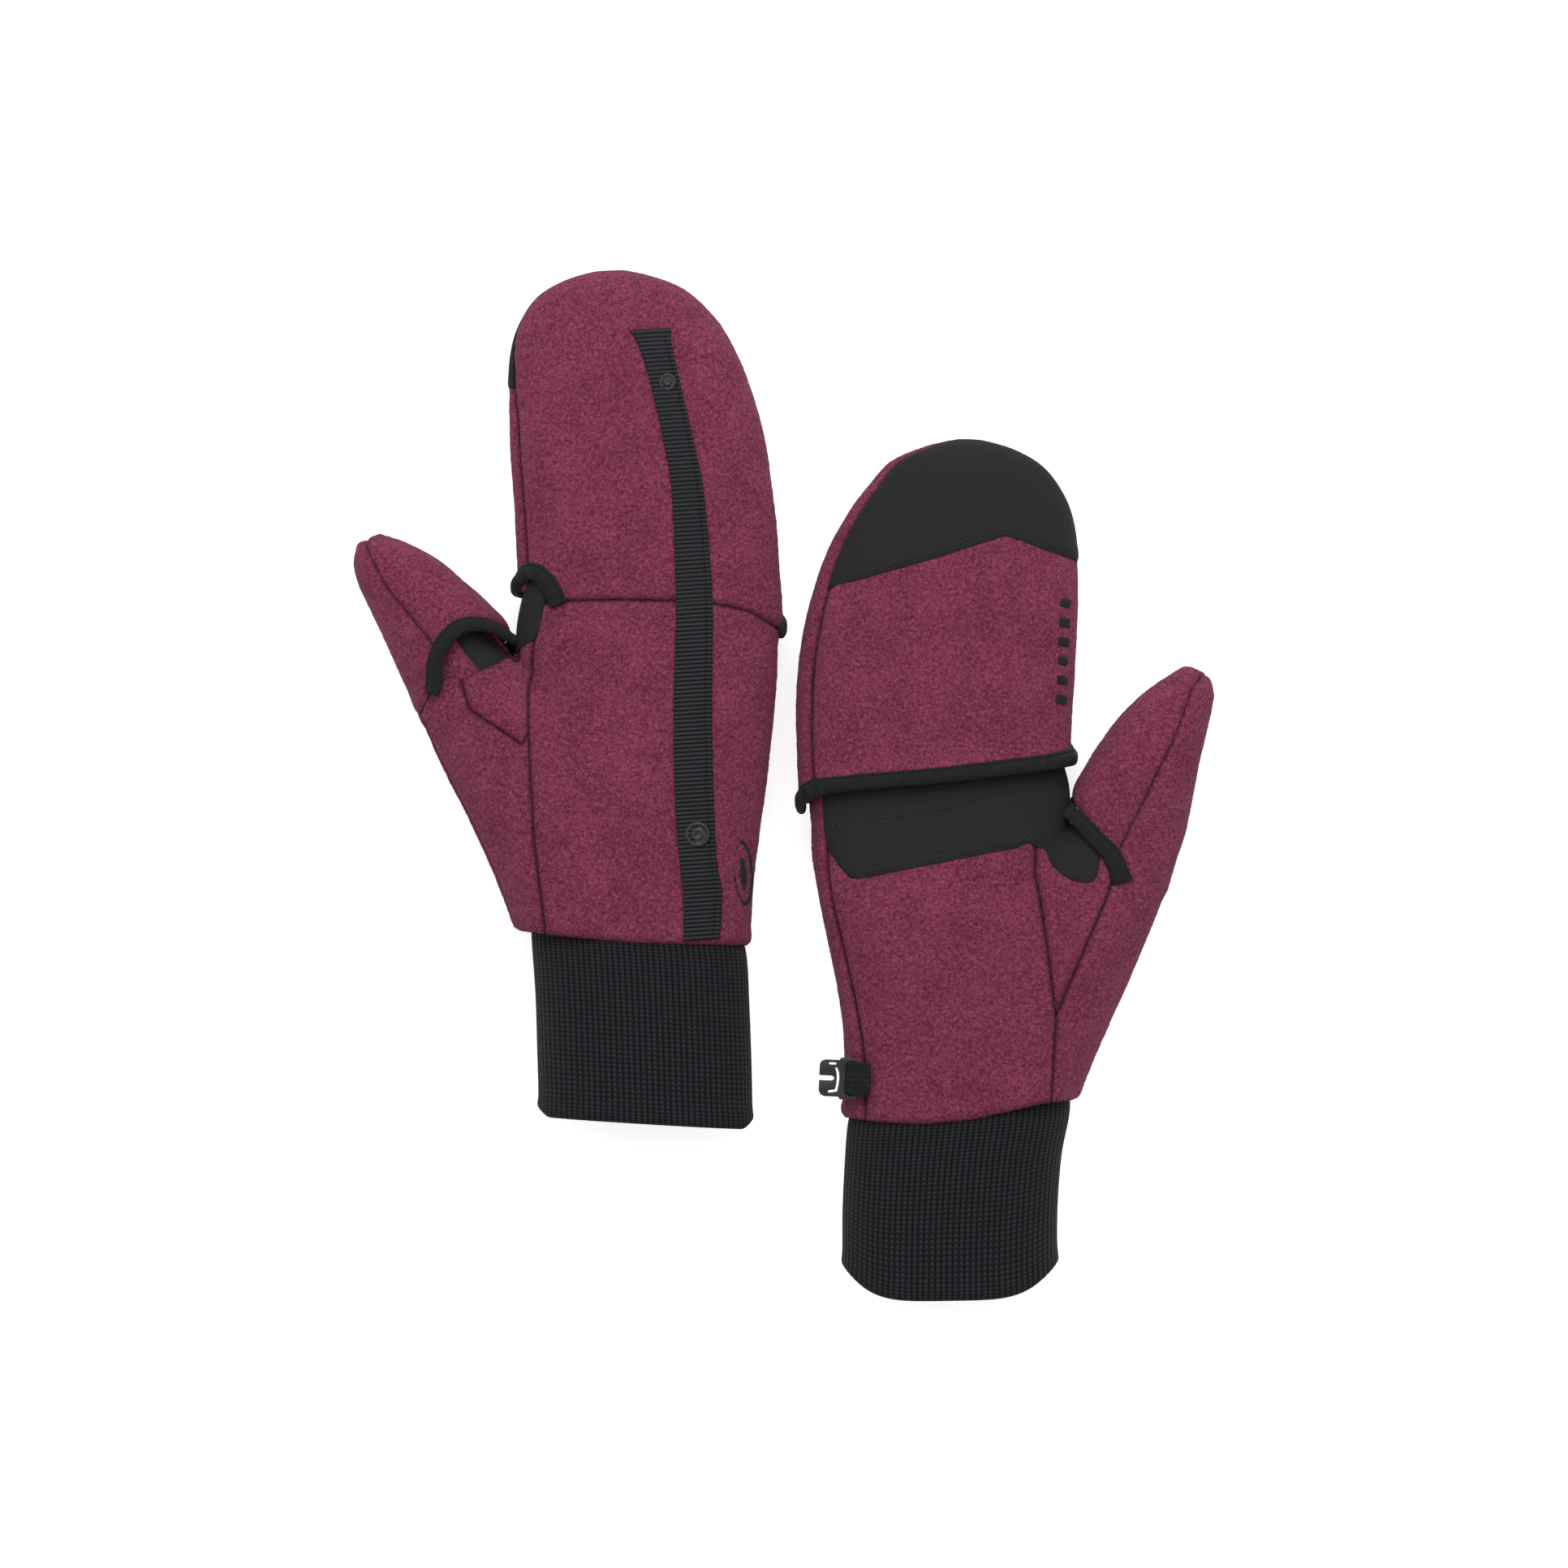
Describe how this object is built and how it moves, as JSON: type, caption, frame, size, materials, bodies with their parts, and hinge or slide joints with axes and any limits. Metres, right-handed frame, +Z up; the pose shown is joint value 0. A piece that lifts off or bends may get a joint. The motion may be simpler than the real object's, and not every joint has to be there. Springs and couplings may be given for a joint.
{
  "type": "convertible flip-top mittens",
  "caption": "Pair of fleece mittens lying flat, one palm down and one palm up, whose hoods fold back over the knuckles and whose thumb caps fold outwards.",
  "frame": {"origin": "centre of the pair's footprint on the table", "axes": "+Y towards the finger tips, +X from the palm-down mitten to the palm-up one, +Z up off the table"},
  "size_m": [0.2862, 0.343, 0.0398],
  "materials": {
    "fleece": "brushed burgundy fleece with a short matt nap",
    "suede": "near-black synthetic suede, matt",
    "rib_knit": "black rib knit",
    "tape": "black woven twill tape",
    "binding": "black stretch grosgrain binding",
    "lining": "black fleece-backed knit",
    "snap_plastic": "moulded black plastic, satin"
  },
  "bodies": {
    "down_hand": {"down_hand_back": "fleece", "down_hand_palm": "fleece", "down_thumb_gusset": "fleece", "down_thumb_base": "fleece", "down_finger_stalls": "lining", "down_palm_patch": "suede", "down_rib_cuff": "rib_knit", "down_hand_tape": "tape", "down_snap_socket": "snap_plastic"},
    "down_hood": {"down_hood_back": "fleece", "down_hood_palm": "fleece", "down_tip_patch": "suede", "down_hood_binding": "binding", "down_hood_tape": "tape", "down_snap_stud": "snap_plastic"},
    "down_thumb_cap": {"down_thumb_cap_outer": "fleece", "down_thumb_cap_inner": "fleece", "down_thumb_binding": "binding"},
    "up_hand": {"up_hand_back": "fleece", "up_hand_palm": "fleece", "up_thumb_gusset": "fleece", "up_thumb_base": "fleece", "up_finger_stalls": "lining", "up_palm_patch": "suede", "up_rib_cuff": "rib_knit", "up_hand_tape": "tape", "up_snap_socket": "snap_plastic", "clip_webbing": "tape"},
    "up_hood": {"up_hood_back": "fleece", "up_hood_palm": "fleece", "up_tip_patch": "suede", "up_hood_binding": "binding", "up_hood_tape": "tape", "up_snap_stud": "snap_plastic"},
    "up_thumb_cap": {"up_thumb_cap_outer": "fleece", "up_thumb_cap_inner": "fleece", "up_thumb_binding": "binding"},
    "clip": {"clip": "snap_plastic"}
  },
  "joints": [
    {"name": "down_hood_fold", "type": "hinge", "parent": "down_hand", "child": "down_hood", "pos_m": [-0.0336, 0.0582, 0.0391], "axis": [0.9978, 0.0663, 0], "range_deg": [0, 180]},
    {"name": "down_thumb_fold", "type": "hinge", "parent": "down_hand", "child": "down_thumb_cap", "pos_m": [-0.12298, 0.0217, 0.0188], "axis": [0, 0, 1], "range_deg": [0, 150]},
    {"name": "pair_part", "type": "slide", "parent": "down_hand", "child": "up_hand", "axis": [1, 0, 0], "range_m": [0, 0.15]},
    {"name": "up_hood_fold", "type": "hinge", "parent": "up_hand", "child": "up_hood", "pos_m": [0.0384, 0.0006, 0.0007], "axis": [-0.999, 0.0436, 0], "range_deg": [0, 180]},
    {"name": "up_thumb_fold", "type": "hinge", "parent": "up_hand", "child": "up_thumb_cap", "pos_m": [0.12858, -0.03387, 0.021], "axis": [0, 0, -1], "range_deg": [0, 150]},
    {"name": "clip_swing", "type": "hinge", "parent": "up_hand", "child": "clip", "pos_m": [0.0221, -0.09758, 0.035], "axis": [0.0436, 0.999, 0], "range_deg": [-60, 60]}
  ]
}
